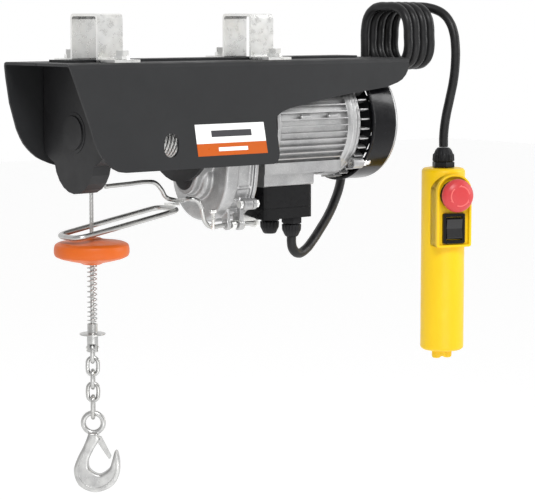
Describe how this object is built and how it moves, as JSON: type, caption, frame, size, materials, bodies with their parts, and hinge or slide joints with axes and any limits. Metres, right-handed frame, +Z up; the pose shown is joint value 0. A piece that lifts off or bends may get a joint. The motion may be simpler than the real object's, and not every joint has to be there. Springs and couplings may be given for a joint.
{
  "type": "electric wire rope hoist",
  "caption": "Electric wire rope hoist that hangs from a square beam by straps, with a rope drum, gearbox, finned motor, hook on a short chain and a wired pendant control.",
  "frame": {"origin": "centre of the raised seat on the frame's top sheet, where the beam's underside rests, halfway between the two straps", "axes": "+X along the beam, from the rope drum to the motor and the control cable; +Y across the beam; +Z up"},
  "size_m": [0.5807, 0.1564, 0.5386],
  "materials": {
    "anthracite_paint": "satin powder coat",
    "black_paint": "satin powder coat",
    "bright_zinc": "bright zinc plate",
    "cast_aluminium": "as cast, fine grain",
    "gear_steel": "ground and oiled",
    "wire_rope": "stranded wire",
    "copper_winding": "varnished copper wire",
    "gloss_black": "gloss enamel",
    "black_plastic": "fine texture",
    "black_cable": "smooth sheath",
    "orange_plastic": "semi-matt moulded",
    "yellow_plastic": "semi-gloss moulded",
    "red_plastic": "semi-gloss moulded",
    "grey_plastic": "smooth"
  },
  "bodies": {
    "root": {"frame": "anthracite_paint", "strap_left": "bright_zinc", "strap_right": "bright_zinc", "strap_bolt_1": "bright_zinc", "strap_bolt_2": "bright_zinc", "strap_bolt_3": "bright_zinc", "strap_bolt_4": "bright_zinc", "end_support": "black_paint", "drum_bearing": "gear_steel", "gear_plate": "black_paint", "gearbox_case": "cast_aluminium", "gearbox_cover": "cast_aluminium", "gearbox_bolt": "bright_zinc", "motor_housing": "cast_aluminium", "stator": "copper_winding", "motor_bearing": "gear_steel", "rear_shield": "cast_aluminium", "motor_bolt": "bright_zinc", "fan_cover": "gloss_black", "terminal_block": "cast_aluminium", "terminal_box": "black_plastic", "terminal_lid": "black_plastic", "capacitor": "grey_plastic", "control_gland": "black_plastic", "mains_gland": "black_plastic", "limit_switch": "black_plastic", "cable_lead": "black_cable", "cable_coil": "black_cable", "cable_drop": "black_cable", "pendant_body": "yellow_plastic", "pendant_hood": "yellow_plastic", "pendant_gland": "black_plastic", "estop_base": "black_plastic", "rocker_bezel": "black_plastic"},
    "drum": {"drum": "black_paint", "drum_shaft": "gear_steel", "wound_rope": "wire_rope", "drum_gear": "gear_steel"},
    "idler": {"idler_gear": "gear_steel", "idler_shaft": "gear_steel"},
    "rotor": {"motor_shaft": "gear_steel", "rotor_core": "gear_steel", "cooling_fan": "black_plastic"},
    "lever": {"lever_rod": "bright_zinc", "stop_loop": "bright_zinc", "lever_arm": "bright_zinc"},
    "load": {"rope_fall": "wire_rope", "buffer_spring": "bright_zinc", "rope_sleeve": "bright_zinc"},
    "stopper": {"stopper": "orange_plastic"},
    "link_1": {"chain_link_1": "bright_zinc"},
    "link_2": {"chain_link_2": "bright_zinc"},
    "link_3": {"chain_link_3": "bright_zinc"},
    "link_4": {"chain_link_4": "bright_zinc"},
    "link_5": {"chain_link_5": "bright_zinc"},
    "hook": {"hook": "bright_zinc"},
    "latch": {"hook_latch": "bright_zinc"},
    "estop_plunger": {"estop_stem": "black_plastic"},
    "estop_cap": {"estop_cap": "red_plastic"},
    "rocker": {"rocker": "black_plastic"}
  },
  "joints": [
    {"name": "drum_spin", "type": "hinge", "parent": "root", "child": "drum", "pos_m": [0, 0, -0.0772], "axis": [1, 0, 0], "range_deg": [-1089, 5]},
    {"name": "idler_spin", "type": "hinge", "parent": "root", "child": "idler", "pos_m": [0, 0, -0.1297], "axis": [1, 0, 0], "range_deg": [-29, 6172]},
    {"name": "rotor_spin", "type": "hinge", "parent": "root", "child": "rotor", "pos_m": [0, 0, -0.0772], "axis": [1, 0, 0], "range_deg": [-34970, 161]},
    {"name": "hook_lift", "type": "slide", "parent": "root", "child": "load", "axis": [0, 0, 1], "range_m": [-0.6, 0.003], "deforming": ["rope_fall"]},
    {"name": "lever_lift", "type": "hinge", "parent": "root", "child": "lever", "pos_m": [0.05, -0.0315, -0.1847], "axis": [1, 0, 0], "range_deg": [0, 8], "stiffness_Nm_per_rad": 0.5, "springref_deg": -11.46},
    {"name": "stopper_slide", "type": "slide", "parent": "load", "child": "stopper", "axis": [0, 0, 1], "range_m": [-0.03, 0], "stiffness_N_per_m": 200, "springref_m": 0.02, "deforming": ["buffer_spring"]},
    {"name": "link_1_swing", "type": "hinge", "parent": "load", "child": "link_1", "pos_m": [-0.0895, 0.03155, -0.3166], "axis": [0.7826, -0.6225, 0], "range_deg": [-25, 25]},
    {"name": "link_2_swing", "type": "hinge", "parent": "link_1", "child": "link_2", "pos_m": [-0.0895, 0.03155, -0.3312], "axis": [0.6225, 0.7826, 0], "range_deg": [-25, 25]},
    {"name": "link_3_swing", "type": "hinge", "parent": "link_2", "child": "link_3", "pos_m": [-0.0895, 0.03155, -0.34555], "axis": [0.7826, -0.6225, 0], "range_deg": [-25, 25]},
    {"name": "link_4_swing", "type": "hinge", "parent": "link_3", "child": "link_4", "pos_m": [-0.0895, 0.03155, -0.3599], "axis": [0.6225, 0.7826, 0], "range_deg": [-25, 25]},
    {"name": "link_5_swing", "type": "hinge", "parent": "link_4", "child": "link_5", "pos_m": [-0.0895, 0.03155, -0.37425], "axis": [0.7826, -0.6225, 0], "range_deg": [-25, 25]},
    {"name": "hook_swing", "type": "hinge", "parent": "link_5", "child": "hook", "pos_m": [-0.0895, 0.03155, -0.39355], "axis": [0.6225, 0.7826, 0], "range_deg": [-25, 25]},
    {"name": "latch_open", "type": "hinge", "parent": "hook", "child": "latch", "pos_m": [-0.0848, 0.02781, -0.4165], "axis": [0.6225, 0.7826, 0], "range_deg": [0, 35], "stiffness_Nm_per_rad": 0.02, "springref_deg": -28.65},
    {"name": "estop_push", "type": "slide", "parent": "root", "child": "estop_plunger", "axis": [0.3338, 0.9426, 0], "range_m": [0, 0.004]},
    {"name": "estop_twist", "type": "hinge", "parent": "estop_plunger", "child": "estop_cap", "pos_m": [0.3765, -0.033, -0.1674], "axis": [0.3338, 0.9426, 0], "range_deg": [0, 40], "stiffness_Nm_per_rad": 0.05, "springref_deg": -5.73},
    {"name": "rocker_tilt", "type": "hinge", "parent": "root", "child": "rocker", "pos_m": [0.36749, -0.05845, -0.2076], "axis": [0.9426, -0.3338, 0], "range_deg": [-8, 8], "stiffness_Nm_per_rad": 0.2}
  ],
  "couplings": [
    {"joint": "idler_spin", "follows": "drum_spin", "ratio": -5.6667},
    {"joint": "rotor_spin", "follows": "drum_spin", "ratio": 32.111},
    {"joint": "hook_lift", "follows": "drum_spin", "m_per_rad": 0.03155}
  ]
}
